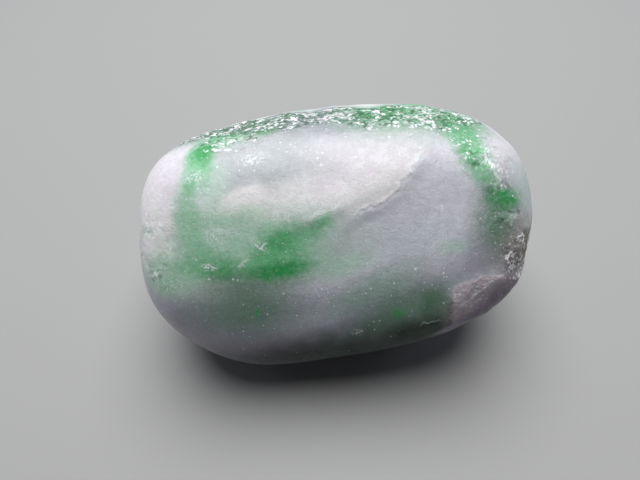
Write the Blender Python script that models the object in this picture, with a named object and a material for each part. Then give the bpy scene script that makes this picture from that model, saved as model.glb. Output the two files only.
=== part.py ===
"""Raw jade boulder: one water-worn cobble of jadeite, built as a single solid.

Frame: +X along the stone's length, +Y towards its back, +Z up, in metres. The origin lies
on the surface that the stone rests on, under the middle of its length and depth.

The body is a block whose sides were worn flat and whose edges were worn round. Each worn
side has a bearing, a slope and a distance from the stone's heart. Scoops, broken ledges,
raised seams and the pitted skin are then worked into the body, and the foot is cut flat.
"""

import math
import random
from dataclasses import dataclass

import bmesh
import bpy
from mathutils import Vector, geometry, noise

MM = 0.001

# Driving dimensions
LENGTH = 36.3 * MM
DEPTH = 26.6 * MM
HEIGHT = 23.3 * MM
FOOT_CUT = 0.35 * MM
EDGE_SHARPNESS = 8.0
CELL = 1.02 * MM
EVENING_PASSES = 2

# Long swells that keep the worn sides from being true planes
SWELL_HEIGHT = 0.22 * MM
SWELL_SIZE = 9.0 * MM

STONE_NAME = "jade_boulder"
STONE_COLOUR = (0.74, 0.82, 0.77, 1.0)
STONE_ROUGHNESS = 0.38


def along(bearing, slope):
    """The unit direction at a bearing from +X and a slope above level, in degrees."""
    flat = math.cos(math.radians(slope))
    turn = math.radians(bearing)
    return Vector((flat * math.cos(turn), flat * math.sin(turn), math.sin(math.radians(slope))))


def in_mm(*places):
    """Points given in millimetres, as vectors in metres."""
    return [Vector(place) * MM for place in places]


def eased(share):
    """Runs smoothly from 0 to 1 as the share does."""
    share = min(max(share, 0.0), 1.0)
    return share * share * (3.0 - 2.0 * share)


def mound(share):
    """1 in the middle of a hollow or lump, easing to 0 at its rim, where the share is 1."""
    return (1.0 - share * share) ** 2 if share < 1.0 else 0.0


@dataclass(frozen=True)
class WornSide:
    """A side that was worn flat: its bearing, its slope and its distance from the heart."""

    bearing: float
    slope: float
    distance: float


@dataclass(frozen=True)
class Scoop:
    """A shallow round hollow."""

    centre: Vector
    radius: float
    depth: float

    def raise_at(self, point, normal):
        return -self.depth * mound((point - self.centre).length / self.radius)


@dataclass(frozen=True)
class Ledge:
    """A broken step: the surface left of its line stands higher, and fades back over the reach."""

    line: list
    height: float
    step_width: float
    reach: float

    def raise_at(self, point, normal):
        nearest, run = nearest_on(self.line, point)
        offset = point - nearest
        beside = offset.dot(normal.cross(run).normalized())
        past_the_end = offset.dot(run)
        fade = mound(math.hypot(beside, 2.0 * past_the_end) / self.reach)
        return self.height * eased(beside / self.step_width + 0.5) * fade


@dataclass(frozen=True)
class Seam:
    """A harder band that wore less than its sides and stands up as a low ridge."""

    line: list
    height: float
    width: float

    def raise_at(self, point, normal):
        nearest, _ = nearest_on(self.line, point)
        return self.height * mound((point - nearest).length / self.width)


@dataclass(frozen=True)
class Skin:
    """A patch of the cobble's old skin, which is coarse and pitted."""

    centre: Vector
    half_sizes: Vector
    grain: float
    relief: float

    def share(self, point):
        apart = point - self.centre
        return Vector([a / h for a, h in zip(apart, self.half_sizes)]).length

    def raise_at(self, point, normal):
        return self.relief * noise.noise(point / self.grain) * mound(self.share(point))


WORN_SIDES = {
    "broad_front": WornSide(-92, 40, 10.5 * MM),
    "crown": WornSide(95, 76, 11.2 * MM),
    "crown_back": WornSide(100, 50, 11.4 * MM),
    "upper_left": WornSide(122, 42, 14.8 * MM),
    "upper_right": WornSide(72, 46, 14.4 * MM),
    "left_shoulder": WornSide(150, 25, 19.1 * MM),
    "right_shoulder": WornSide(37, 34, 18.0 * MM),
    "left_end": WornSide(178, 12, 16.2 * MM),
    "right_end": WornSide(-12, 17, 20.2 * MM),
    "lower_left": WornSide(-131, -18, 16.7 * MM),
    "lower_right": WornSide(-56, -24, 17.7 * MM),
    "front_foot": WornSide(-86, -24, 14.0 * MM),
    "back": WornSide(90, 0, 13.3 * MM),
    "back_left": WornSide(140, -15, 18.2 * MM),
    "back_right": WornSide(42, -12, 17.7 * MM),
    "back_foot": WornSide(85, -42, 13.0 * MM),
    "under_left": WornSide(180, -42, 17.1 * MM),
    "under_right": WornSide(0, -40, 17.6 * MM),
    "base": WornSide(0, -90, 11.5 * MM),
}

SCOOPS = {
    "right_end_notch": Scoop(Vector((17.0, -6.7, 13.5)) * MM, 3.6 * MM, 0.8 * MM),
    "front_dish": Scoop(Vector((5.8, -7.4, 18.0)) * MM, 6.5 * MM, 0.25 * MM),
    "crown_dish": Scoop(Vector((-6.7, 2.6, 22.0)) * MM, 5.0 * MM, 0.3 * MM),
    "lower_dish": Scoop(Vector((-4.7, -11.9, 9.0)) * MM, 7.0 * MM, 0.3 * MM),
    "back_hollow": Scoop(Vector((4.3, 13.0, 9.5)) * MM, 6.5 * MM, 0.8 * MM),
    "back_dimple": Scoop(Vector((-10.2, 11.1, 13.5)) * MM, 3.6 * MM, 0.5 * MM),
    "left_dish": Scoop(Vector((-18.2, 2.1, 8.5)) * MM, 5.0 * MM, 0.4 * MM),
}

# Each broken step has its high side on the left of its line, seen from outside the stone
LEDGES = {
    "front_step": Ledge(
        in_mm((0.8, -6.8, 19.5), (1.1, -6.5, 19.9), (2.6, -6.1, 20.2), (3.4, -5.7, 20.6),
              (4.9, -4.7, 21.7), (6.1, -4.0, 22.2), (6.9, -3.0, 22.7)),
        0.20 * MM, 0.9 * MM, 7.0 * MM),
    "front_step_left": Ledge(
        in_mm((-3.0, -6.8, 19.6), (-1.6, -6.6, 20.1), (-0.8, -6.5, 20.3), (0.1, -6.2, 20.6)),
        0.12 * MM, 0.8 * MM, 3.5 * MM),
    "foot_chip": Ledge(
        in_mm((6.0, -12.6, 11.7), (7.0, -12.6, 11.6), (8.0, -12.4, 11.8)),
        0.25 * MM, 0.8 * MM, 2.6 * MM),
    "back_break": Ledge(
        in_mm((-3.7, 13.0, 7.5), (-7.7, 12.8, 6.5), (-11.2, 11.6, 7.5), (-13.7, 9.6, 7.0)),
        0.50 * MM, 1.0 * MM, 6.0 * MM),
}

SEAMS = {
    "crust_ridge": Seam(
        in_mm((12.5, -10.4, 14.9), (11.2, -10.9, 14.2), (9.9, -11.6, 13.7), (8.6, -11.9, 13.4)),
        0.35 * MM, 1.6 * MM),
    "crown_edge_left": Seam(
        in_mm((-13.0, 0.1, 21.5), (-11.0, -0.5, 22.2), (-7.0, 1.4, 21.7), (-0.1, 2.1, 21.9)),
        0.22 * MM, 2.2 * MM),
    "crown_edge_right": Seam(
        in_mm((4.4, 1.2, 22.5), (6.7, -1.8, 22.9), (9.2, -3.3, 22.4), (10.7, -4.5, 21.7)),
        0.20 * MM, 2.4 * MM),
}

SKINS = {
    "crown_band": Skin(Vector((-2.7, 7.0, 19.5)) * MM, Vector((15.0, 6.0, 5.0)) * MM,
                       2.3 * MM, 0.32 * MM),
    "right_crown": Skin(Vector((9.5, 1.0, 21.0)) * MM, Vector((7.0, 6.0, 4.0)) * MM,
                        2.2 * MM, 0.30 * MM),
    "right_end": Skin(Vector((15.3, -8.4, 14.5)) * MM, Vector((4.2, 4.2, 3.6)) * MM,
                      2.1 * MM, 0.34 * MM),
    "lower_right_crust": Skin(Vector((12.0, -11.4, 12.2)) * MM, Vector((5.5, 4.0, 4.0)) * MM,
                              2.2 * MM, 0.42 * MM),
    "back_skin": Skin(Vector((-0.7, 12.6, 8.0)) * MM, Vector((16.0, 5.0, 8.0)) * MM,
                      2.8 * MM, 0.34 * MM),
    "left_skin": Skin(Vector((-17.7, 2.6, 12.0)) * MM, Vector((4.0, 8.0, 8.0)) * MM,
                      2.6 * MM, 0.22 * MM),
}

# Pits are sown over the coarse skin
PIT_SEED = 7
PITS_PER_SKIN = 6
PIT_RADII = (1.1 * MM, 1.7 * MM)
PIT_DEPTHS = (0.15 * MM, 0.35 * MM)


def nearest_on(line, point):
    """The nearest point of a line of points, and the unit run of the stretch that it is on."""
    least = math.inf
    for start, end in zip(line, line[1:]):
        share = geometry.intersect_point_line(point, start, end)[1]
        place = start.lerp(end, min(max(share, 0.0), 1.0))
        apart = (point - place).length
        if apart < least:
            least = apart
            nearest = place
            run = (end - start).normalized()
    return nearest, run


def worn_radius(direction):
    """Distance from the heart to the worn block's surface, with its edges rounded together."""
    total = 0.0
    for side in WORN_SIDES.values():
        share = along(side.bearing, side.slope).dot(direction) / side.distance
        if share > 0.0:
            total += share ** EDGE_SHARPNESS
    return total ** (-1.0 / EDGE_SHARPNESS)


def split_along(mesh, axis, cells):
    """Cuts the box's edges that run along one axis into that many cells."""
    edges = []
    for edge in mesh.edges:
        run = edge.verts[1].co - edge.verts[0].co
        if run.length - abs(run[axis]) < 1e-6:
            edges.append(edge)
    bmesh.ops.subdivide_edges(mesh, edges=edges, cuts=cells - 1, use_grid_fill=True)


def block_mesh():
    """A unit box whose sides are cut into cells of one size on the real stone."""
    mesh = bmesh.new()
    bmesh.ops.create_cube(mesh, size=2.0)
    for axis, side in enumerate((LENGTH, DEPTH, HEIGHT)):
        split_along(mesh, axis, round(side / CELL))
    return mesh


def direction_of(corner):
    """The direction from the heart that a point of the unit box stands for."""
    evened = [math.tan(value * math.pi / 4.0) for value in corner]
    return Vector((evened[0] * LENGTH, evened[1] * DEPTH, evened[2] * HEIGHT)).normalized()


def wear_round(mesh):
    """Gives the box the worn block's form about its heart, and evens out its cells."""
    for vert in mesh.verts:
        direction = direction_of(vert.co)
        vert.co = direction * worn_radius(direction)
    for _ in range(EVENING_PASSES):
        bmesh.ops.smooth_vert(mesh, verts=mesh.verts[:], factor=0.5,
                              use_axis_x=True, use_axis_y=True, use_axis_z=True)


def set_on_origin(mesh):
    """Brings the block to its size over the origin, with the part to cut off below it."""
    spans = ((-LENGTH / 2.0, LENGTH / 2.0), (-DEPTH / 2.0, DEPTH / 2.0), (-FOOT_CUT, HEIGHT))
    for axis, (low, high) in enumerate(spans):
        places = [vert.co[axis] for vert in mesh.verts]
        least = min(places)
        scale = (high - low) / (max(places) - least)
        for vert in mesh.verts:
            vert.co[axis] = low + (vert.co[axis] - least) * scale


def sown_pits(mesh):
    """Small pits at seeded places on the coarse skin."""
    dice = random.Random(PIT_SEED)
    pits = []
    for skin in SKINS.values():
        places = [vert.co.copy() for vert in mesh.verts if skin.share(vert.co) < 0.8]
        for place in dice.sample(places, PITS_PER_SKIN):
            pits.append(Scoop(place, dice.uniform(*PIT_RADII), dice.uniform(*PIT_DEPTHS)))
    return pits


def work_surface(mesh):
    """Raises and lowers the surface along its normals by everything that marks it."""
    marks = [*SCOOPS.values(), *LEDGES.values(), *SEAMS.values(), *SKINS.values()]
    marks.extend(sown_pits(mesh))
    mesh.normal_update()
    places = []
    for vert in mesh.verts:
        height = SWELL_HEIGHT * noise.noise(vert.co / SWELL_SIZE)
        height += sum(mark.raise_at(vert.co, vert.normal) for mark in marks)
        places.append(vert.co + vert.normal * height)
    for vert, place in zip(mesh.verts, places):
        vert.co = place


def cut_foot(mesh):
    """Cuts the block flat where it rests, and closes it."""
    cut = bmesh.ops.bisect_plane(mesh, geom=mesh.verts[:] + mesh.edges[:] + mesh.faces[:],
                                 plane_co=(0.0, 0.0, 0.0), plane_no=(0.0, 0.0, -1.0),
                                 clear_outer=True)
    rim = [item for item in cut["geom_cut"] if isinstance(item, bmesh.types.BMEdge)]
    bmesh.ops.contextual_create(mesh, geom=rim)
    bmesh.ops.triangulate(mesh, faces=mesh.faces[:], quad_method="SHORT_EDGE")
    bmesh.ops.recalc_face_normals(mesh, faces=mesh.faces[:])


def stone_material():
    """Pale green jadeite with a satin polish."""
    material = bpy.data.materials.new("jadeite")
    material.use_nodes = True
    shader = material.node_tree.nodes["Principled BSDF"]
    shader.inputs["Base Color"].default_value = STONE_COLOUR
    shader.inputs["Roughness"].default_value = STONE_ROUGHNESS
    shader.inputs["Metallic"].default_value = 0.0
    return material


def build_stone():
    """The finished stone, as one closed object."""
    mesh = block_mesh()
    wear_round(mesh)
    set_on_origin(mesh)
    work_surface(mesh)
    set_on_origin(mesh)
    cut_foot(mesh)
    data = bpy.data.meshes.new(STONE_NAME)
    mesh.to_mesh(data)
    mesh.free()
    data.materials.append(stone_material())
    data.shade_smooth()
    return bpy.data.objects.new(STONE_NAME, data)


def main():
    for obj in list(bpy.data.objects):
        bpy.data.objects.remove(obj)
    collection = bpy.data.collections.new("raw_jade_boulder")
    bpy.context.scene.collection.children.link(collection)
    collection.objects.link(build_stone())


main()
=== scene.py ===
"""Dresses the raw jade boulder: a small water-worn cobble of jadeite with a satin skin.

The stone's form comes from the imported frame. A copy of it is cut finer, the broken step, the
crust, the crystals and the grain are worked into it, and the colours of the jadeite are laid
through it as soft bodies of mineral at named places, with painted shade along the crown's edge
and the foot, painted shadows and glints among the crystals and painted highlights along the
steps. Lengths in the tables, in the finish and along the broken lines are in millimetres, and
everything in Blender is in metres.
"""

import logging
import math
from collections.abc import Callable
from dataclasses import dataclass, field
from enum import Enum

import bpy
import numpy as np
from mathutils import Matrix, Vector, noise


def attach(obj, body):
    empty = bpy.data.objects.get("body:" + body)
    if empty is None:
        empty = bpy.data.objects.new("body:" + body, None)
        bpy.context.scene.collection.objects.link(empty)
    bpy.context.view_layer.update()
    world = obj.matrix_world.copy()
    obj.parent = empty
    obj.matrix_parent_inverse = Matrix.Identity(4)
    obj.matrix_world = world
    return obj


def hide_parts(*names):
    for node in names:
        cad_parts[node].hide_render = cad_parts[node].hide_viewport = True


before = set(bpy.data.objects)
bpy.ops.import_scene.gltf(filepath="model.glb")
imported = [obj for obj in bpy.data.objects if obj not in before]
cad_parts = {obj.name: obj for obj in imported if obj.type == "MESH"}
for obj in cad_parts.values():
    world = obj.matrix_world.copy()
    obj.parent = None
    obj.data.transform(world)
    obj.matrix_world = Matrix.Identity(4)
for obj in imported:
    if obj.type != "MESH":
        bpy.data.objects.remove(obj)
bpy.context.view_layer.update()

MM = 0.001
NODE = "jade_boulder"
MIDDLE = (0.5, 0.5, 0.5)

log = logging.getLogger("jade")

Pair = tuple[float, float]
Triple = tuple[float, float, float]
Ramp = tuple[float, float, float, float]
Mottle = tuple[float, ...]
Colour = tuple[float, float, float, float]
Piece = bpy.types.Object
Socket = bpy.types.NodeSocket
Tree = bpy.types.NodeTree
Values = np.ndarray


class Hue(Enum):
    """The jadeite's colours, as sRGB shares. Some also serve for painted shade, shadows and
    highlights.
    """

    SNOW = (0.98, 0.97, 0.98)
    MILK = (0.87, 0.85, 0.88)
    # A pearl grey, also used for painted shade along the crown's edge.
    PEARL_AND_SHADE = (0.72, 0.74, 0.75)
    LAVENDER = (0.88, 0.88, 0.92)
    MIST = (0.72, 0.78, 0.78)
    ASH = (0.56, 0.56, 0.61)
    # Used for painted shade towards the foot.
    SLATE_SHADE = (0.25, 0.25, 0.28)
    FROST = (0.80, 0.91, 0.85)
    CELADON = (0.60, 0.82, 0.68)
    MOSS = (0.38, 0.50, 0.43)
    APPLE = (0.36, 0.72, 0.48)
    EMERALD = (0.14, 0.60, 0.30)
    # Dark green jade, also used for painted shade on the foot and painted shadows among crystals.
    FOREST_AND_SHADOW = (0.20, 0.38, 0.26)
    # Dark green jade, also used for painted shade on the foot.
    PINE_AND_SHADE = (0.05, 0.17, 0.10)
    ROSE = (0.69, 0.65, 0.68)
    PLUM = (0.50, 0.46, 0.53)
    UMBER = (0.50, 0.47, 0.43)
    OCHRE = (0.50, 0.42, 0.26)
    # The white of crystals, also used for painted glints and painted highlights.
    CRYSTAL_AND_HIGHLIGHT = (0.97, 0.98, 1.0)

    @property
    def rgba(self) -> Colour:
        """The colour as linear light, with full alpha."""
        red, green, blue = (((share + 0.055) / 1.055) ** 2.4 for share in self.value)
        return red, green, blue, 1.0


class Side(Enum):
    """The stone's sides, by the direction that each faces."""

    FRONT = (0.0, -0.78, 0.62)
    CROWN = (0.0, 0.10, 0.99)
    SLOPE = (0.0, 0.50, 0.86)
    FOOT = (0.0, -0.99, 0.12)
    LEFT = (-0.80, -0.20, 0.55)
    RIGHT = (0.60, -0.50, 0.62)
    BACK = (0.0, 0.98, 0.20)
    UNDER = (0.0, 0.0, -1.0)

    def turned(self, turn: float) -> Matrix:
        """Axes on this side: the first runs along the side, the third out of it.

        Args:
            turn: how far the first axis is turned up from level, in degrees.

        Returns:
            The rotation whose columns are the axes.
        """
        out = Vector(self.value).normalized()
        level = (Vector((1.0, 0.0, 0.0)) - out * out.x).normalized()
        axes = Matrix((level, out.cross(level), out)).transposed()
        return axes @ Matrix.Rotation(math.radians(turn), 3, "Z")


class Edge(Enum):
    """The sharp edges that a cloud may end at."""

    STEP = "step"
    CRUST = "crust"


@dataclass(frozen=True)
class Cloud:
    """A soft body of one hue in the stone, mostly of mineral; a few stand for painted shade and
    glints.

    Its place is its middle. Its sizes are how far its length, breadth and depth reach from
    there to where it has faded by half, and its softness is the share of them over which it
    fades. Its turn is how far its length rises from level on the side that it lies on.
    """

    hue: Hue
    place: Triple
    sizes: Triple
    turn: float = 0.0
    strength: float = 0.8
    softness: float = 0.8
    side: Side = Side.FRONT
    ends_at: Edge | None = None


def clouds(*rows: tuple) -> tuple[Cloud, ...]:
    """The clouds that a table's rows describe, lowest first."""
    return tuple(Cloud(*row) for row in rows)


@dataclass(frozen=True)
class Patch:
    """A rounded region of the surface, by its middle, its half sizes and its strength."""

    place: Triple
    sizes: Triple
    strength: float = 1.0
    steepness: float = 1.6

    def share(self, places: Values) -> Values:
        """How far each place lies within the patch.

        Args:
            places: the places, one to a row.

        Returns:
            A share for each place, from the strength in the middle to 0 at the rim and beyond.
        """
        apart = (places - np.array(self.place)) / np.array(self.sizes)
        return self.strength * eased(self.steepness * (1.0 - (apart ** 2).sum(axis=1)))


@dataclass(frozen=True)
class BrokenLine:
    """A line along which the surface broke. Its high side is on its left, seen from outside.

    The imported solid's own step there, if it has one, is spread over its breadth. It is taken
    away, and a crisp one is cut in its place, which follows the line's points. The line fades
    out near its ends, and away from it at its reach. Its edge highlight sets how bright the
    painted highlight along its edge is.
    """

    name: str
    edge: Edge | None
    points: tuple[Triple, ...]
    height: float
    breadth: float
    reach: float
    crisp_height: float
    fade: float = 0.8
    edge_highlight: float = 0.9
    steepness: float = 1.5

    def measure(self, places: Values, normals: Values) -> tuple[Values, Values]:
        """Where each place lies about the line.

        Args:
            places: the places, one to a row.
            normals: the surface's outward directions there.

        Returns:
            The distance from the line, positive on its high side, and how fully the surface
            is broken there, from 0 past the line's ends to 1.
        """
        points = np.array(self.points)
        lengths = np.linalg.norm(np.diff(points, axis=0), axis=1)
        total = lengths.sum()
        least = np.full(len(places), np.inf)
        side = np.ones(len(places))
        run_to = np.zeros(len(places))
        before = 0.0
        for start, end, length in zip(points, points[1:], lengths):
            run = (end - start) / length
            along = np.clip((places - start) @ run, 0.0, length)
            apart = places - (start + along[:, None] * run)
            far = np.linalg.norm(apart, axis=1)
            left = (np.cross(normals, run) * apart).sum(axis=1)
            nearer = far < least
            side[nearer] = np.sign(left[nearer])
            run_to[nearer] = before + along[nearer]
            least[nearer] = far[nearer]
            before += length
        held = eased(run_to / self.fade) * eased((total - run_to) / self.fade)
        return side * least, held * eased(self.steepness * (1.0 - least / self.reach))


FIELDS = clouds(
    (Hue.LAVENDER, (7.8, -6.4, 19.8), (5.4, 4.2, 5.0), 0, 0.9, 0.6),
    (Hue.MIST, (1.2, -9.0, 16.9), (8.5, 1.6, 4.0), 10, 0.5),
    (Hue.ASH, (-4.0, -11.9, 12.6), (10.5, 2.6, 4.0), 2, 0.85, 0.7),
    (Hue.ASH, (4.0, -11.2, 14.2), (7.0, 2.4, 4.0), 16, 0.75),
    (Hue.ASH, (12.5, -9.4, 16.2), (3.4, 3.0, 4.0), 20, 0.7, 0.6, Side.RIGHT),
    (Hue.ASH, (-13.2, -10.6, 13.2), (3.4, 1.6, 3.0), -34, 0.7, 0.9),
    # A dark grey band along the foot: painted shade, darker towards the bottom.
    (Hue.SLATE_SHADE, (-2.0, -13.2, 8.4), (13.0, 3.2, 5.0), 3, 0.95, 0.7, Side.FOOT),
    (Hue.FROST, (-8.0, -7.0, 18.9), (5.0, 3.0, 4.0), 8, 0.7, 0.7),
    (Hue.SNOW, (-3.6, -5.3, 21.2), (7.4, 1.5, 4.0), 10, 0.95, 0.6, Side.FRONT, Edge.STEP),
    (Hue.MILK, (2.6, -4.5, 22.1), (5.2, 2.6, 4.0), 18, 0.95, 0.5, Side.FRONT, Edge.STEP),
    (Hue.SNOW, (3.6, -5.2, 21.4), (3.4, 1.1, 3.0), 38, 0.85, 0.7, Side.FRONT, Edge.STEP),
    (Hue.SNOW, (-0.6, -5.9, 20.8), (2.8, 0.9, 3.0), 14, 0.8, 0.7, Side.FRONT, Edge.STEP),
    # A greyer band along the crown's edge: partly the stone's grey, partly painted shade on the lit
    # top.
    (Hue.PEARL_AND_SHADE, (-5.0, -2.4, 22.6), (8.0, 2.4, 3.0), 6, 0.85, 0.5, Side.CROWN),
    (Hue.MILK, (2.4, -1.6, 22.9), (4.6, 1.8, 3.0), 6, 0.7, 0.6, Side.CROWN),
    (Hue.FROST, (-10.2, -4.4, 21.3), (1.5, 2.0, 2.0), 0, 0.6),
    (Hue.SNOW, (-7.9, -5.3, 20.9), (1.9, 1.0, 3.0), 24, 1.0, 0.5),
    (Hue.SNOW, (-15.3, -5.2, 19.2), (5.0, 2.1, 4.0), 84, 0.95, 0.5),
    (Hue.MILK, (-13.6, -2.2, 21.6), (2.6, 2.2, 3.0), 0, 0.85, 0.6),
    (Hue.MILK, (13.6, -3.2, 21.7), (1.9, 2.6, 3.0), 0, 0.95, 0.5, Side.RIGHT),
    (Hue.PEARL_AND_SHADE, (13.8, -3.4, 21.6), (2.4, 2.6, 3.0), 0, 0.35, 0.8, Side.RIGHT),
    (Hue.MIST, (14.8, -5.4, 19.4), (1.6, 2.4, 3.0), 0, 0.7, 0.7, Side.RIGHT),
    (Hue.SNOW, (2.7, -4.2, 22.3), (2.8, 1.3, 3.0), 20, 0.4, 0.8, Side.FRONT, Edge.STEP),
)

GREENS = clouds(
    (Hue.CELADON, (-7.4, -7.9, 17.8), (7.4, 2.6, 3.5), 6, 0.62),
    (Hue.CELADON, (-9.6, -6.2, 19.9), (2.6, 0.9, 2.0), 5, 0.55),
    (Hue.APPLE, (-11.0, -2.0, 22.4), (1.2, 1.8, 2.0), 0, 0.95, 0.5, Side.CROWN),
    (Hue.EMERALD, (-10.5, -0.9, 22.4), (1.0, 1.2, 1.5), 0, 0.85, 0.8, Side.CROWN),
    (Hue.CELADON, (-11.4, -3.5, 21.9), (1.0, 0.9, 1.5), 0, 0.85, 0.7),
    (Hue.APPLE, (-11.8, -4.1, 21.5), (0.5, 0.6, 1.5), 0, 0.6),
    (Hue.CELADON, (-12.2, -5.2, 20.6), (0.8, 1.5, 1.5), 0, 0.75),
    (Hue.APPLE, (-12.1, -5.9, 19.8), (0.7, 1.0, 1.5), 0, 0.18),
    (Hue.CELADON, (-16.0, -5.6, 18.4), (1.3, 0.45, 1.5), 20, 0.35, 0.9),
    (Hue.SNOW, (-8.2, -5.3, 20.9), (1.5, 0.7, 2.0), 24, 0.45, 0.7),
    (Hue.CELADON, (-11.9, -7.0, 18.6), (1.1, 1.6, 1.5), 0, 0.75),
    (Hue.APPLE, (-11.7, -7.5, 18.0), (0.9, 0.9, 1.5), 0, 0.15),
    (Hue.CELADON, (-14.4, -8.6, 15.9), (2.8, 1.7, 2.5), 0, 0.65, 0.7),
    (Hue.APPLE, (-14.9, -8.9, 15.2), (1.4, 0.7, 1.5), 10, 0.3, 0.9),
    (Hue.APPLE, (-10.8, -8.5, 16.9), (2.5, 1.0, 1.5), 0, 0.7),
    (Hue.EMERALD, (-9.7, -8.8, 16.5), (1.5, 0.7, 1.5), 4, 0.75),
    (Hue.MOSS, (-6.8, -9.5, 15.8), (4.2, 1.1, 2.0), 4, 0.7, 0.7),
    (Hue.APPLE, (-6.7, -8.4, 17.3), (1.7, 0.9, 2.0), 40, 0.75, 0.7),
    (Hue.CELADON, (-5.2, -8.3, 17.5), (2.4, 0.9, 2.0), 22, 0.6),
    (Hue.APPLE, (-4.9, -7.7, 18.3), (2.1, 1.3, 2.0), 16, 0.85, 0.7),
    (Hue.EMERALD, (-4.9, -7.6, 18.5), (1.1, 0.6, 1.5), 10, 0.4, 0.9),
    (Hue.CELADON, (-2.2, -7.3, 19.2), (1.8, 0.9, 2.0), 40, 0.65),
    (Hue.APPLE, (-1.9, -6.9, 19.6), (1.4, 0.45, 2.0), 42, 0.55),
    (Hue.APPLE, (-5.2, -8.9, 16.8), (2.8, 1.0, 2.0), 8, 0.7, 0.7),
    (Hue.EMERALD, (-5.2, -9.1, 16.5), (2.2, 0.62, 1.5), 7, 0.95, 0.6),
    (Hue.MOSS, (-6.5, 3.8, 20.9), (10.5, 3.8, 3.0), 0, 0.95, 0.5, Side.SLOPE),
    (Hue.ASH, (-0.3, 2.6, 21.9), (3.8, 2.8, 2.0), 0, 0.8, 0.8, Side.SLOPE),
    (Hue.APPLE, (-9.5, 0.9, 21.9), (1.9, 1.6, 3.0), 0, 0.75, 0.8, Side.SLOPE),
    (Hue.EMERALD, (-5.8, 1.4, 21.8), (1.0, 0.9, 2.0), 0, 0.5, 0.9, Side.SLOPE),
    (Hue.MOSS, (7.6, 2.0, 22.0), (7.0, 4.4, 3.0), 0, 0.7, 0.6, Side.SLOPE),
    (Hue.APPLE, (6.6, 2.8, 21.8), (5.4, 4.2, 3.0), 0, 0.5, 0.7, Side.SLOPE),
    (Hue.EMERALD, (4.8, 3.4, 21.4), (1.8, 2.4, 2.0), 0, 0.75, 0.8, Side.SLOPE),
    (Hue.EMERALD, (10.8, 0.3, 22.1), (1.8, 1.6, 2.0), -40, 0.6, 0.8, Side.CROWN),
    (Hue.APPLE, (10.3, -2.4, 22.7), (1.4, 2.5, 2.5), 12, 0.85, 0.6, Side.CROWN),
    (Hue.MOSS, (9.6, -0.8, 22.8), (1.6, 1.4, 2.0), 0, 0.35, 0.8, Side.CROWN),
    (Hue.APPLE, (11.2, -5.0, 21.6), (0.9, 1.9, 2.0), 27, 0.75, 0.7),
    (Hue.MOSS, (12.4, -7.4, 18.5), (1.8, 2.6, 2.5), 0, 0.9),
    (Hue.EMERALD, (13.0, -6.2, 19.7), (1.5, 0.8, 2.0), -15, 0.95, 0.6),
    (Hue.PINE_AND_SHADE, (11.5, -5.9, 20.4), (0.5, 0.25, 1.0), -30, 0.3),
    (Hue.APPLE, (12.6, -7.2, 18.6), (1.3, 1.6, 2.0), 0, 0.18, 0.9),
    (Hue.CELADON, (8.8, -8.6, 17.3), (1.0, 0.6, 1.0), 0, 0.4, 0.9),
    (Hue.CELADON, (-0.2, -9.2, 16.5), (2.0, 0.9, 2.0), 15, 0.42, 0.9),
    (Hue.CELADON, (1.6, -10.8, 14.7), (4.0, 1.0, 2.0), 22, 0.3, 0.9),
    (Hue.MOSS, (2.4, -10.5, 15.0), (3.8, 1.1, 2.0), 24, 0.42, 0.9),
)

# Dark greens low on the front, without grain; on the foot partly jade, partly painted shade.
DARK_GREENS_AND_FOOT_SHADE = clouds(
    (Hue.LAVENDER, (-3.9, -11.9, 12.7), (2.6, 1.4, 2.0), 4, 0.22, 0.9),
    (Hue.MOSS, (-8.4, -10.8, 13.8), (4.1, 2.3, 3.0), 0, 0.9),
    (Hue.EMERALD, (-7.5, -11.2, 13.5), (0.22, 0.32, 0.6), 0, 0.6),
    (Hue.MOSS, (4.8, -11.5, 13.5), (3.8, 1.6, 2.0), 20, 0.85, 0.7),
    (Hue.EMERALD, (4.2, -12.0, 13.0), (0.45, 0.45, 1.5), 0, 0.7, 0.9),
    (Hue.FOREST_AND_SHADOW, (7.4, -11.9, 13.2), (1.7, 1.6, 2.0), 35, 0.7, 0.5),
    (Hue.FOREST_AND_SHADOW, (3.0, -12.6, 11.6), (4.6, 1.1, 2.0), 6, 0.55, 0.9, Side.FOOT),
    (Hue.PINE_AND_SHADE, (6.4, -12.9, 10.7), (3.0, 1.7, 2.0), 5, 1.0, 0.5, Side.FOOT),
    (Hue.PINE_AND_SHADE, (0.6, -13.2, 8.8), (7.5, 1.9, 2.5), 6, 0.9, 0.8, Side.FOOT),
)

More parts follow.
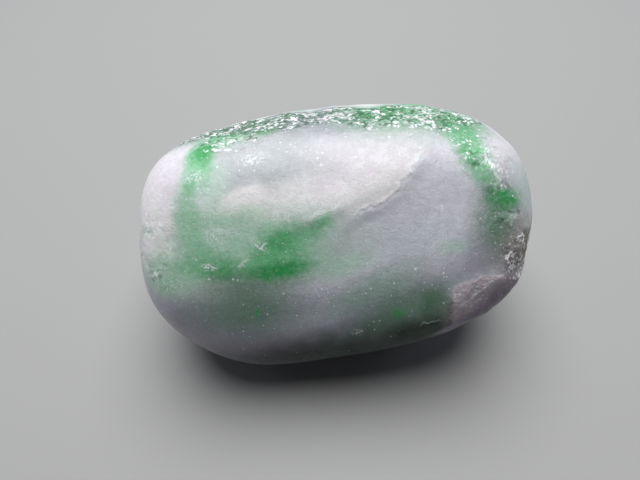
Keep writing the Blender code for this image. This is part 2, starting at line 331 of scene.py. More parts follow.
HIDDEN = clouds(
    # The two bodies low on the foot are painted shade, darker towards the floor.
    (Hue.ASH, (0.0, -11.0, 3.0), (16.0, 6.0, 5.0), 0, 0.75, 0.8, Side.FOOT),
    (Hue.SLATE_SHADE, (0.5, -12.0, 4.6), (12.0, 3.6, 5.0), 4, 0.8, 0.8, Side.FOOT),
    (Hue.MIST, (17.0, -3.0, 10.0), (6.0, 4.5, 4.0), 20, 0.7, 0.9, Side.RIGHT),
    (Hue.ASH, (14.5, -8.5, 8.0), (5.0, 3.5, 4.0), 15, 0.8, 0.9, Side.RIGHT),
    (Hue.MILK, (-9.0, 9.5, 14.0), (7.0, 4.5, 5.0), 15, 0.7, 0.9, Side.BACK),
    (Hue.SNOW, (9.5, 11.0, 11.0), (5.0, 3.0, 4.0), -20, 0.8, 0.8, Side.BACK),
    (Hue.CELADON, (-1.0, 11.5, 13.0), (8.0, 2.6, 4.0), 24, 0.8, 0.9, Side.BACK),
    (Hue.APPLE, (2.5, 11.8, 14.2), (3.6, 1.3, 3.0), 30, 0.8, 0.8, Side.BACK),
    (Hue.EMERALD, (-4.6, 12.2, 11.4), (1.9, 0.8, 2.0), 18, 0.7, 0.8, Side.BACK),
    (Hue.MOSS, (12.0, 8.0, 15.5), (3.4, 1.6, 3.0), -35, 0.7, 0.9, Side.BACK),
    (Hue.ASH, (3.0, 12.0, 6.0), (8.0, 2.6, 4.0), 4, 0.6, 0.9, Side.BACK),
    (Hue.CELADON, (-15.5, 2.0, 12.0), (3.6, 2.0, 3.0), 60, 0.8, 0.9, Side.LEFT),
    (Hue.APPLE, (-16.4, -1.0, 9.5), (2.0, 1.0, 2.0), 50, 0.7, 0.9, Side.LEFT),
    (Hue.MOSS, (15.5, 2.5, 12.0), (3.4, 1.8, 3.0), 50, 0.7, 0.9, Side.RIGHT),
    (Hue.MILK, (0.0, 2.0, 1.0), (11.0, 6.0, 4.0), 15, 0.7, 0.9, Side.UNDER),
    (Hue.CELADON, (-4.0, -3.0, 1.0), (6.0, 2.2, 4.0), 35, 0.8, 0.9, Side.UNDER),
    (Hue.APPLE, (6.0, 3.0, 1.5), (3.6, 1.6, 4.0), -20, 0.8, 0.8, Side.UNDER),
)

CRUSTS = clouds(
    (Hue.UMBER, (14.6, -8.4, 15.8), (2.2, 2.4, 3.0), 0, 0.7, 0.8, Side.RIGHT),
    (Hue.OCHRE, (16.0, -7.6, 15.4), (0.8, 1.4, 1.5), 0, 0.7, 0.9, Side.RIGHT),
    (Hue.ROSE, (12.0, -11.2, 13.2), (5.4, 3.0, 4.0), 30, 0.95, 0.3, Side.FRONT, Edge.CRUST),
    (Hue.PLUM, (12.2, -11.8, 12.0), (4.6, 1.1, 2.0), 36, 0.9, 0.7, Side.FRONT, Edge.CRUST),
    (Hue.LAVENDER, (11.0, -11.3, 14.0), (2.9, 0.16, 1.5), 37, 0.4, 0.9, Side.FRONT, Edge.CRUST),
    (Hue.UMBER, (8.6, -12.2, 12.4), (0.3, 1.4, 1.5), 0, 0.6),
)

# Small white crystals at given places: partly their own white, partly painted glints.
GLINTS = clouds(*((Hue.CRYSTAL_AND_HIGHLIGHT, *row) for row in (
    ((-14.2, -4.3, 20.8), (0.5, 0.4, 0.6)), ((-13.4, -5.0, 20.5), (0.5, 0.3, 0.6)),
    ((-15.3, -5.6, 18.9), (0.7, 0.6, 0.8), 0, 0.5),
    ((-11.2, -5.2, 20.8), (0.2, 0.16, 0.3), 0, 1.0),
    ((-11.3, -3.5, 21.9), (0.8, 0.4, 0.6), 0, 0.6),
    ((-6.8, -2.6, 22.6), (1.0, 0.5, 0.6), 10, 0.55), ((-5.3, -6.3, 20.0), (0.3, 0.5, 0.6)),
    ((-4.3, -6.4, 19.9), (0.3, 0.4, 0.6)), ((-6.9, -7.7, 18.1), (0.75, 0.28, 0.5), -45, 0.75),
    ((-6.5, -7.8, 18.1), (0.6, 0.16, 0.5), 50, 0.7),
    ((-8.2, -8.5, 17.0), (0.7, 0.18, 0.5), 40, 0.55), ((-10.9, -8.5, 16.8), (0.6, 0.3, 0.5)),
    ((-10.4, -6.9, 18.9), (0.8, 0.6, 0.8), 0, 0.7),
    ((-8.8, -6.8, 19.1), (0.7, 0.4, 0.8), 0, 0.4), ((-1.7, -6.0, 20.9), (0.4, 0.3, 0.5)),
    ((9.9, -5.5, 21.2), (0.11, 0.36, 0.5), 0, 1.0), ((7.8, -6.6, 19.6), (0.2, 0.35, 0.5)),
    ((7.2, -6.8, 19.2), (0.3, 0.2, 0.5)), ((12.0, -3.9, 22.0), (1.1, 0.8, 0.8), 0, 0.6),
    ((-14.7, -8.9, 15.4), (1.6, 0.9, 1.0), 0, 0.35),
    ((0.7, -12.8, 11.7), (0.5, 0.35, 0.5), 0, 0.4),
)))

CRYSTAL_PATCHES = (
    Patch((-4.0, 3.9, 20.8), (13.5, 3.9, 5.0)),
    Patch((-8.6, -0.2, 22.3), (3.2, 2.1, 3.0), 0.7),
    Patch((7.0, 2.4, 21.6), (7.6, 4.8, 4.0)),
    Patch((10.6, -2.2, 22.5), (2.4, 4.0, 3.0), 0.62),
    Patch((12.8, -3.6, 21.8), (2.2, 2.2, 2.4), 0.55),
    Patch((13.0, -6.4, 19.2), (2.6, 3.0, 2.6), 0.46),
    Patch((-15.6, -6.4, 17.4), (2.4, 3.2, 4.0), 0.48),
    Patch((14.8, -8.6, 15.2), (2.4, 2.8, 3.0), 0.75),
)

CRUST_PATCHES = (
    Patch((12.2, -11.2, 12.6), (5.0, 3.2, 3.4)),
    Patch((15.0, -8.6, 14.8), (3.2, 3.4, 3.4)),
)

BREAKS = (
    BrokenLine("step_right", Edge.STEP,
               ((0.6, -7.0, 19.4), (1.3, -6.6, 20.0), (1.8, -6.4, 20.2), (2.7, -6.3, 20.2),
                (3.3, -6.1, 20.5), (4.3, -5.6, 20.9), (4.4, -5.3, 21.3), (5.2, -4.9, 21.8),
                (5.4, -4.5, 22.2), (6.0, -3.9, 22.6), (6.8, -3.3, 22.9)),
               0.20, 0.9, 7.0, 0.09),
    BrokenLine("step_left", Edge.STEP,
               ((-3.2, -6.9, 19.7), (-2.1, -6.7, 20.0), (-1.3, -6.6, 20.2), (-0.4, -6.4, 20.5),
                (0.1, -6.1, 20.8)),
               0.12, 0.8, 3.5, 0.06),
    BrokenLine("crust_edge", Edge.CRUST,
               ((15.2, -9.9, 12.9), (14.0, -10.2, 14.2), (12.9, -10.3, 14.9),
                (11.4, -10.5, 15.3), (10.2, -10.7, 15.0), (8.9, -11.0, 14.7),
                (8.6, -11.8, 13.9), (8.6, -12.4, 12.0), (9.3, -12.5, 10.4)),
               0.0, math.inf, 7.0, 0.05),
    BrokenLine("foot_crack", None,
               ((5.9, -12.7, 11.8), (7.0, -12.7, 12.0), (8.0, -12.6, 12.1)),
               0.25, 0.8, 2.6, 0.12, 0.5, 0.3),
)


def eased(values: Values) -> Values:
    """Values held between 0 and 1, with the run from the one to the other made smooth."""
    held = np.clip(values, 0.0, 1.0)
    return held * held * (3.0 - 2.0 * held)


def select_only(piece: Piece) -> None:
    """Makes a piece the only selected object, and the active one."""
    bpy.ops.object.select_all(action="DESELECT")
    piece.select_set(True)
    bpy.context.view_layer.objects.active = piece


class NodeSheet:
    """A shader tree that is laid out with one call for each node."""

    def __init__(self, tree: Tree) -> None:
        """Starts on a tree."""
        self.tree = tree

    def add(self, kind: str, inputs: dict | None = None, **settings: object) -> bpy.types.Node:
        """Adds a node.

        Args:
            kind: the node's type, without the words that all shader nodes start with.
            inputs: for an input's name or number, a socket to link or a value to set.
            settings: the node's own settings.

        Returns:
            The node.
        """
        node = self.tree.nodes.new("ShaderNode" + kind)
        for name, value in settings.items():
            setattr(node, name, value)
        for name, value in (inputs or {}).items():
            self.put(node.inputs[name], value)
        return node

    def put(self, socket: Socket, value: object) -> None:
        """Links a socket to another one, or sets its value."""
        if isinstance(value, Socket):
            self.tree.links.new(value, socket)
        else:
            socket.default_value = value

    def math(self, operation: str, *values: object, clamp: bool = False) -> Socket:
        """The result of a Math node on one to three sockets or numbers."""
        inputs = dict(enumerate(values))
        return self.add("Math", inputs, operation=operation, use_clamp=clamp).outputs[0]

    def times(self, first: object, second: object) -> Socket:
        """The product of two sockets or numbers."""
        return self.math("MULTIPLY", first, second)

    def vector(self, operation: str, first: object, second: object = None,
               scale: object = None, output: int | str = 0) -> Socket:
        """An output of a Vector Math node on the values that it is given."""
        given = {0: first, 1: second, 3: scale}
        inputs = {slot: value for slot, value in given.items() if value is not None}
        return self.add("VectorMath", inputs, operation=operation).outputs[output]

    def ease(self, value: Socket, low: object, high: object, start: object = 0.0,
             end: object = 1.0) -> Socket:
        """A value that eases from start to end as another runs from low to high."""
        inputs = {"Value": value, "From Min": low, "From Max": high,
                  "To Min": start, "To Max": end}
        return self.add("MapRange", inputs, interpolation_type="SMOOTHSTEP").outputs["Result"]

    def mix(self, share: object, first: object, second: object, how: str = "MIX") -> Socket:
        """Two colours mixed by a share."""
        node = self.add("Mix", data_type="RGBA", blend_type=how, clamp_factor=True)
        given = {"Factor_Float": share, "A_Color": first, "B_Color": second}
        for socket in node.inputs:
            if socket.identifier in given:
                self.put(socket, given[socket.identifier])
        return next(item for item in node.outputs if item.identifier == "Result_Color")

    def attribute(self, name: str) -> Socket:
        """A value that the surface carries."""
        return self.add("Attribute", attribute_name=name).outputs["Fac"]

    def lumps(self, vector: Socket, size: float, detail: float) -> Socket:
        """A Noise Texture's value, with lumps of a size in the vector's units."""
        inputs = {"Vector": vector, "Scale": 1.0 / size, "Detail": detail}
        return self.add("TexNoise", inputs).outputs[0]

    def mottle(self, vector: Socket, size: float, detail: float, *ramp: float) -> Socket:
        """Lumps, with their value eased along a ramp."""
        return self.ease(self.lumps(vector, size, detail), *ramp)

    def layer(self, vector: Socket, size: float, detail: float, height: float) -> Socket:
        """Lumps of a height."""
        return self.times(self.lumps(vector, size, detail), height)

    def group(self, tree: Tree, inputs: dict) -> Socket:
        """The first output of a node group placed with its inputs."""
        return self.add("Group", inputs, node_tree=tree).outputs[0]


@dataclass
class Effects:
    """The node groups that the finish shares, each built once."""

    vectors: tuple[str, ...] = ("Vector", "Place", "Turn", "Sizes")
    fleck_least: float = 0.4
    fleck_core: float = 0.4
    fleck_rarity: float = 2.2
    fleck_strengths: Pair = (0.80, 0.12)
    face_edge: float = 0.14
    cloud: Tree = field(init=False)
    warp: Tree = field(init=False)
    flecks: Tree = field(init=False)
    facets: Tree = field(init=False)
    faces: Tree = field(init=False)

    def __post_init__(self) -> None:
        """Builds the groups."""
        self.cloud = self.made("mineral_cloud", self.cloud_share, "Place", "Turn", "Sizes",
                               "Softness", "Strength")
        self.warp = self.made("warp", self.warped, "Size", "Push", result="Vector")
        self.flecks = self.made("crystal_glint_flecks", self.fleck_share, "Cell", "Radius", "Chance")
        self.facets = self.made("crystal_facets", self.facet_height, "Cell", "Tilt")
        self.faces = self.made("crystal_faces", self.face_share, "Cell", "Odds")

    def made(self, name: str, fill: Callable[[NodeSheet, dict], Socket], *inputs: str,
             result: str = "Float") -> Tree:
        """A new group that turns a vector and some values into one result.

        Args:
            name: the group's name.
            fill: lays the group's nodes and returns the socket of its result.
            inputs: the names of the inputs other than the vector.
            result: the kind of the result.

        Returns:
            The group's tree.
        """
        tree = bpy.data.node_groups.new(name, "ShaderNodeTree")
        for label in ("Vector", *inputs):
            kind = "Vector" if label in self.vectors else "Float"
            tree.interface.new_socket(label, in_out="INPUT", socket_type="NodeSocket" + kind)
        tree.interface.new_socket("Result", in_out="OUTPUT", socket_type="NodeSocket" + result)
        given = tree.nodes.new("NodeGroupInput").outputs
        filled = fill(NodeSheet(tree), given)
        tree.links.new(filled, tree.nodes.new("NodeGroupOutput").inputs["Result"])
        return tree

    def cloud_share(self, sheet: NodeSheet, given: dict) -> Socket:
        """How much of a soft body there is at a point."""
        apart = sheet.vector("SUBTRACT", given["Vector"], given["Place"])
        turned = sheet.add("VectorRotate", {"Vector": apart, "Rotation": given["Turn"]},
                           rotation_type="EULER_XYZ", invert=True).outputs[0]
        within = sheet.vector("DIVIDE", turned, given["Sizes"])
        far = sheet.vector("LENGTH", within, output="Value")
        core = sheet.math("SUBTRACT", 1.0, given["Softness"])
        rim = sheet.math("ADD", 1.0, given["Softness"])
        return sheet.ease(far, core, rim, given["Strength"], 0.0)

    def warped(self, sheet: NodeSheet, given: dict) -> Socket:
        """The vector pushed about by lumps of a size."""
        scale = sheet.math("DIVIDE", 1.0, given["Size"])
        lumps = sheet.add("TexNoise", {"Vector": given["Vector"], "Scale": scale, "Detail": 2.0})
        centred = sheet.vector("SUBTRACT", lumps.outputs["Color"], MIDDLE)
        push = sheet.vector("SCALE", centred, scale=given["Push"])
        return sheet.vector("ADD", given["Vector"], push)

    def cells(self, sheet: NodeSheet, given: dict) -> tuple[Socket, list[Socket]]:
        """How far a point is from its cell's middle, and the cell's three random draws."""
        scale = sheet.math("DIVIDE", 1.0, given["Cell"])
        cells = sheet.add("TexVoronoi", {"Vector": given["Vector"], "Scale": scale})
        draw = sheet.add("SeparateColor", {0: cells.outputs["Color"]})
        return cells.outputs["Distance"], list(draw.outputs)

    def fleck_share(self, sheet: NodeSheet, given: dict) -> Socket:
        """Small crystals with painted glints: each cell of a size holds one with a given chance."""
        far, draw = self.cells(sheet, given)
        held = sheet.math("LESS_THAN", draw[0], given["Chance"])
        radius = sheet.times(given["Radius"], sheet.math("ADD", draw[1], self.fleck_least))
        near = sheet.math("DIVIDE", sheet.times(far, given["Cell"]), radius)
        rare = sheet.math("POWER", draw[2], self.fleck_rarity)
        strength = sheet.math("MULTIPLY_ADD", rare, *self.fleck_strengths)
        return sheet.times(sheet.ease(near, self.fleck_core, 1.0, strength, 0.0), held)

    def face_share(self, sheet: NodeSheet, given: dict) -> Socket:
        """How far each cell of a size stands out, for the odds that one does."""
        draw = self.cells(sheet, given)[1]
        over = sheet.math("SUBTRACT", sheet.math("ADD", draw[1], given["Odds"]), 1.0)
        return sheet.math("DIVIDE", over, self.face_edge, clamp=True)

    def facet_height(self, sheet: NodeSheet, given: dict) -> Socket:
        """The height of flat crystal faces, each cell of a size tilted its own way."""
        scale = sheet.math("DIVIDE", 1.0, given["Cell"])
        spot = sheet.vector("SCALE", given["Vector"], scale=scale)
        cells = sheet.add("TexVoronoi", {"Vector": spot, "Scale": 1.0})
        apart = sheet.vector("SUBTRACT", spot, cells.outputs["Position"])
        lean = sheet.vector("SUBTRACT", cells.outputs["Color"], MIDDLE)
        height = sheet.vector("DOT_PRODUCT", apart, lean, output="Value")
        return sheet.times(height, sheet.times(given["Cell"], given["Tilt"]))


@dataclass(frozen=True)
class JadeiteFinish:
    """The stone's material: minerals laid through it, with painted shade, shadows, glints and
    highlights, under a satin water-worn skin.

    A ramp is the low and high end of a run, and then the values at them. A mottle is a size
    of lumps, their detail and a ramp. A fray is a size of lumps and how far they push. A layer
    is a size of lumps, their detail and their height.
    """

    refraction: float = 1.66
    gloss: float = 0.28
    glow: float = 0.50
    glow_depth: float = 0.0016
    glow_reach: Triple = (0.8, 1.0, 0.85)
    satin: Mottle = (0.8, 3.0, 0.3, 0.7, 0.53, 0.64)
    crust_dullness: float = 0.04
    crystal_roughness: float = 0.16
    drift: Pair = (4.5, 1.0)
    broad_fray: Pair = (1.2, 0.9)
    fine_fray: Pair = (0.3, 0.28)
    glint_fray: Pair = (0.3, 0.2)
    ground: Mottle = (5.0, 3.0, 0.35, 0.65, 0.0, 1.0)
    grain: Mottle = (0.36, 2.0, 0.32, 0.60, 0.72, 1.0)
    glint_grain: Mottle = (0.19, 1.0, 0.50, 0.57, 0.08, 1.0)
    shadow_strength: float = 0.75
    jag: Triple = (0.3, 2.0, 0.16)
    below_edge: Ramp = (-0.10, 0.04, 1.0, 0.0)
    highlight_rise: Pair = (-0.09, -0.04)
    highlight_fall: Ramp = (0.04, 0.18, 1.0, 0.0)
    rim_tear: Triple = (1.8, 3.0, 1.6)
    torn_rim: Pair = (0.35, 0.85)
    crystal_fray: Pair = (0.13, 0.22)
    crowding: Mottle = (1.1, 2.0, 0.38, 0.62, 0.15, 1.0)
    wide_cell: float = 0.38
    wide_odds: float = 0.36
    wide_behind: Pair = (-1.0, 1.5)
    fine_cell: float = 0.21
    fine_odds: Pair = (0.40, 0.05)
    shadow_cell: float = 0.28
    shadow_odds: Ramp = (0.50, 1.0, 0.0, 0.55)
    shadow_behind: Ramp = (-1.5, 1.0, 0.1, 1.0)
    shadow_shift: Triple = (40.0, 0.0, 0.0)
    fleck_crowding: Mottle = (4.0, 2.0, 0.35, 0.65, 0.5, 1.0)
    flecks_above: Ramp = (10.0, 18.0, 0.12, 1.0)
    fleck_cells: tuple[Triple, ...] = ((0.80, 0.13, 0.30), (0.42, 0.09, 0.55),
                                       (0.24, 0.065, 0.60))
    vein_turn: Triple = (0.3, 0.5, 0.6)
    vein_squeeze: Triple = (0.45, 1.0, 1.0)
    vein_fray: Pair = (3.0, 2.4)
    veins_behind: Pair = (0.0, 5.0)
    veins_below: Pair = (7.0, 2.0)
    veins_beside: Pair = (14.5, 16.5)
    vein_kinds: tuple[tuple[Hue, float, Mottle], ...] = (
        (Hue.MIST, 0.0, (4.0, 4.0, 0.44, 0.60, 0.0, 0.80)),
        (Hue.ASH, 20.0, (3.2, 4.0, 0.50, 0.66, 0.0, 0.70)),
        (Hue.CELADON, 40.0, (3.4, 4.0, 0.50, 0.64, 0.0, 0.85)),
        (Hue.APPLE, 60.0, (2.6, 4.0, 0.56, 0.70, 0.0, 0.80)),
        (Hue.SNOW, 80.0, (2.2, 4.0, 0.56, 0.70, 0.0, 0.60)),
    )
    sugar_cell: float = 0.4
    sugar_share: float = 0.35
    sugar_layer: Triple = (0.25, 3.0, 0.65)
    sugar_levels: Ramp = (0.25, 0.75, 0.94, 1.04)
    skin_layer: Triple = (0.5, 3.0, 0.030)
    pit_layer: Triple = (0.17, 2.0, 0.034)
    gravel_layer: Triple = (0.22, 2.0, 0.16)
    facet_cell: float = 0.55
    facet_tilt: float = 1.1
    facets_on_crust: float = 0.3

    def build(self) -> bpy.types.Material:
        """The finished material."""
        material = bpy.data.materials.new("jadeite")
        material.use_nodes = True
        sheet = NodeSheet(material.node_tree)
        effects = Effects()
        metres = sheet.add("TexCoord").outputs["Object"]
        place = sheet.vector("SCALE", metres, scale=1.0 / MM)
        crystal = self.ragged(sheet, place, "crystal")
        crust = sheet.attribute("crust")
        bright, dark = self.crystals(sheet, effects, place, crystal, crust)
        colour = self.colour(sheet, effects, place, bright, dark)
        shader = material.node_tree.nodes["Principled BSDF"]
        inputs = {"Base Color": colour, "IOR": self.refraction,
                  "Roughness": self.roughness(sheet, place, crust, bright),
                  "Normal": self.relief(sheet, effects, place, crystal, crust),
                  "Specular IOR Level": self.gloss, "Subsurface Weight": self.glow,
                  "Subsurface Radius": self.glow_reach, "Subsurface Scale": self.glow_depth}
        for name, value in inputs.items():
            sheet.put(shader.inputs[name], value)
        return material

    def frayed(self, sheet: NodeSheet, effects: Effects, vector: Socket, fray: Pair) -> Socket:
        """A vector pushed about, so that what is laid on it has a frayed edge."""
        size, push = fray
        return sheet.group(effects.warp, {"Vector": vector, "Size": size, "Push": push})

    def centred(self, sheet: NodeSheet, place: Socket, lumps: Triple) -> Socket:
        """Lumps of a size, a detail and a height, half of them below nought."""
        size, detail, height = lumps
        return sheet.math("MULTIPLY_ADD", sheet.lumps(place, size, detail), height, -height / 2)

    def ragged(self, sheet: NodeSheet, place: Socket, name: str) -> Socket:
        """A share that the surface carries, with its rim broken up."""
        torn = self.centred(sheet, place, self.rim_tear)
        return sheet.ease(sheet.math("ADD", sheet.attribute(name), torn), *self.torn_rim)

    def laid(self, sheet: NodeSheet, effects: Effects, vector: Socket, under: Socket,
             clouds: tuple[Cloud, ...], gates: dict[Edge, Socket],
             grain: Socket | None = None) -> Socket:
        """Clouds of mineral, and of painted shade and glints, laid over a colour, one after the
        other.

        Args:
            sheet: the material's sheet.
            effects: the shared groups.
            vector: the place in the stone, pushed about so that edges fray.
            under: the colour below the clouds.
            clouds: the clouds, lowest first.
            gates: for each edge, the share that is on its high side.
            grain: a share that thins every cloud, if there is one.

        Returns:
            The colour with the clouds on it.
        """
        for cloud in clouds:
            turn = cloud.side.turned(cloud.turn).to_euler()
            share = sheet.group(effects.cloud, {"Vector": vector, "Place": cloud.place,
                                                "Turn": turn, "Sizes": cloud.sizes,
                                                "Softness": cloud.softness,
                                                "Strength": cloud.strength})
            if cloud.ends_at:
                share = sheet.times(share, gates[cloud.ends_at])
            if grain:
                share = sheet.times(share, grain)
            under = sheet.mix(share, under, cloud.hue.rgba)
        return under

    def edges(self, sheet: NodeSheet, place: Socket) -> tuple[dict[Edge, Socket], Socket]:
        """The share on the high side of each edge kind, and painted highlights along steps and
        crack.
        """
        jag = self.centred(sheet, place, self.jag)
        gates = {}
        edge_highlights = None
        for line in BREAKS:
            side = sheet.attribute(line.name + "_side")
            held = sheet.attribute(line.name + "_held")
            across = sheet.math("ADD", side, jag)
            if line.edge:
                below = sheet.times(sheet.ease(across, *self.below_edge), held)
                kept = sheet.math("SUBTRACT", 1.0, below)
                known = gates.get(line.edge)
                gates[line.edge] = sheet.times(known, kept) if known else kept
            if line.edge is not Edge.CRUST:
                edge_highlight = sheet.times(sheet.ease(across, *self.highlight_rise),
                                  sheet.ease(across, *self.highlight_fall))
                edge_highlight = sheet.times(edge_highlight, sheet.times(held, line.edge_highlight))
                edge_highlights = sheet.math("MAXIMUM", edge_highlights, edge_highlight) if edge_highlights else edge_highlight
        return gates, edge_highlights

    def crystals(self, sheet: NodeSheet, effects: Effects, place: Socket, crystal: Socket,
                 crust: Socket) -> tuple[Socket, Socket]:
        """The shares of bright crystal faces and of shadowed ones: painted glints and painted
        shadows.

        Bright flecks, partly white grains and partly painted glints, lie all over the stone, and
        where its skin is rough they crowd together.
        """
        parts = sheet.add("SeparateXYZ", {0: place}).outputs
        frayed = self.frayed(sheet, effects, place, self.crystal_fray)
        crowd = sheet.times(crystal, sheet.mottle(place, *self.crowding))
        behind = sheet.times(crowd, sheet.ease(parts[1], *self.wide_behind))
        wide = {"Vector": frayed, "Cell": self.wide_cell,
                "Odds": sheet.times(behind, self.wide_odds)}
        on_crown, on_crust = self.fine_odds
        odds = sheet.math("ADD", sheet.times(crowd, on_crown), sheet.times(crust, on_crust))
        fine = {"Vector": frayed, "Cell": self.fine_cell, "Odds": odds}
        bright = sheet.math("MAXIMUM", *(sheet.group(effects.faces, kind) for kind in (wide, fine)))
        odds = sheet.times(sheet.ease(crystal, *self.shadow_odds),
                           sheet.ease(parts[1], *self.shadow_behind))
        dark = sheet.group(effects.faces, {
            "Vector": sheet.vector("ADD", frayed, self.shadow_shift),
            "Cell": self.shadow_cell, "Odds": odds})
        often = sheet.times(sheet.mottle(place, *self.fleck_crowding),
                            sheet.ease(parts[2], *self.flecks_above))
        for cell, radius, chance in self.fleck_cells:
            inputs = {"Vector": frayed, "Cell": cell, "Radius": radius,
                      "Chance": sheet.times(often, chance)}
            bright = sheet.math("MAXIMUM", bright, sheet.group(effects.flecks, inputs))
        return bright, dark

    def colour(self, sheet: NodeSheet, effects: Effects, place: Socket, bright: Socket,
               dark: Socket) -> Socket:
        """The stone's colour."""
        gates, edge_highlights = self.edges(sheet, place)
        drifted = self.frayed(sheet, effects, place, self.drift)
        broad = self.frayed(sheet, effects, drifted, self.broad_fray)
        fine = self.frayed(sheet, effects, broad, self.fine_fray)
        near = self.frayed(sheet, effects, place, self.glint_fray)
        grain = sheet.mottle(place, *self.grain)
        body = sheet.mix(sheet.mottle(drifted, *self.ground), Hue.LAVENDER.rgba,
                         Hue.MILK.rgba)
        body = self.veins(sheet, effects, place, body, grain)
        body = self.laid(sheet, effects, fine, body, HIDDEN + FIELDS, gates)
        body = self.laid(sheet, effects, fine, body, GREENS, gates, grain)
        body = self.laid(sheet, effects, fine, body, DARK_GREENS_AND_FOOT_SHADE + CRUSTS, gates)
        body = self.sugar(sheet, place, body)
        glint = sheet.mottle(place, *self.glint_grain)
        body = self.laid(sheet, effects, near, body, GLINTS, gates, glint)
        # Painted shadows between the crystal faces.
        body = sheet.mix(sheet.times(dark, self.shadow_strength), body, Hue.FOREST_AND_SHADOW.rgba)
        # Painted highlights along the edges of the steps and the crack.
        body = sheet.mix(edge_highlights, body, Hue.CRYSTAL_AND_HIGHLIGHT.rgba)
        # Painted glints: crystal faces and flecks laid white, partly their own white, partly
        # highlight.
        return sheet.mix(bright, body, Hue.CRYSTAL_AND_HIGHLIGHT.rgba)

    def veins(self, sheet: NodeSheet, effects: Effects, place: Socket, body: Socket,
              grain: Socket) -> Socket:
        """Drawn-out wisps of mineral on the sides that have few clouds of their own."""
        parts = sheet.add("SeparateXYZ", {0: place}).outputs
        where = sheet.math("MAXIMUM", sheet.ease(parts[1], *self.veins_behind),
                           sheet.ease(parts[2], *self.veins_below))
        where = sheet.math("MAXIMUM", where, sheet.ease(parts[0], *self.veins_beside))
        turned = sheet.add("VectorRotate", {"Vector": place, "Rotation": self.vein_turn},
                           rotation_type="EULER_XYZ").outputs[0]
        drawn = sheet.vector("MULTIPLY", turned, self.vein_squeeze)
        bent = self.frayed(sheet, effects, drawn, self.vein_fray)
        for hue, shift, mottle in self.vein_kinds:
            moved = sheet.vector("ADD", bent, (shift, shift, 0.0))
            share = sheet.times(sheet.times(sheet.mottle(moved, *mottle), where), grain)
            body = sheet.mix(share, body, hue.rgba)
        return body

    def sugar(self, sheet: NodeSheet, place: Socket, body: Socket) -> Socket:
        """The fine mottling of interlocked grains, laid over a colour."""
        grains = sheet.add("TexVoronoi", {"Vector": place, "Scale": 1.0 / self.sugar_cell})
        tone = sheet.add("SeparateColor", {0: grains.outputs["Color"]}).outputs[0]
        both = sheet.math("MULTIPLY_ADD", tone, self.sugar_share,
                          sheet.layer(place, *self.sugar_layer))
        level = sheet.ease(both, *self.sugar_levels)
        grey = sheet.add("CombineColor", {0: level, 1: level, 2: level}).outputs[0]
        return sheet.mix(1.0, body, grey, "MULTIPLY")

    def roughness(self, sheet: NodeSheet, place: Socket, crust: Socket,
                  crystals: Socket) -> Socket:
        """Satin all over, dull on the crust and bright on the crystal faces."""
        worn = sheet.math("ADD", sheet.mottle(place, *self.satin),
                          sheet.times(crust, self.crust_dullness))
        gloss = sheet.math("SUBTRACT", self.crystal_roughness, worn)
        return sheet.math("MULTIPLY_ADD", gloss, crystals, worn, clamp=True)

    def relief(self, sheet: NodeSheet, effects: Effects, place: Socket, crystal: Socket,
               crust: Socket) -> Socket:
        """The fine relief of grains and crystal faces."""
        skin = sheet.math("ADD", sheet.layer(place, *self.skin_layer),
                          sheet.layer(place, *self.pit_layer))
        faces = sheet.group(effects.facets, {"Vector": place, "Cell": self.facet_cell,
                                             "Tilt": self.facet_tilt})
        bite = sheet.math("MAXIMUM", crystal, sheet.times(crust, self.facets_on_crust))
        faces = sheet.times(faces, bite)
        gravel = sheet.times(sheet.layer(place, *self.gravel_layer), crust)
        height = sheet.math("ADD", sheet.math("ADD", skin, faces), gravel)
        return sheet.add("Bump", {"Height": height, "Strength": 1.0, "Distance": MM}).outputs[0]


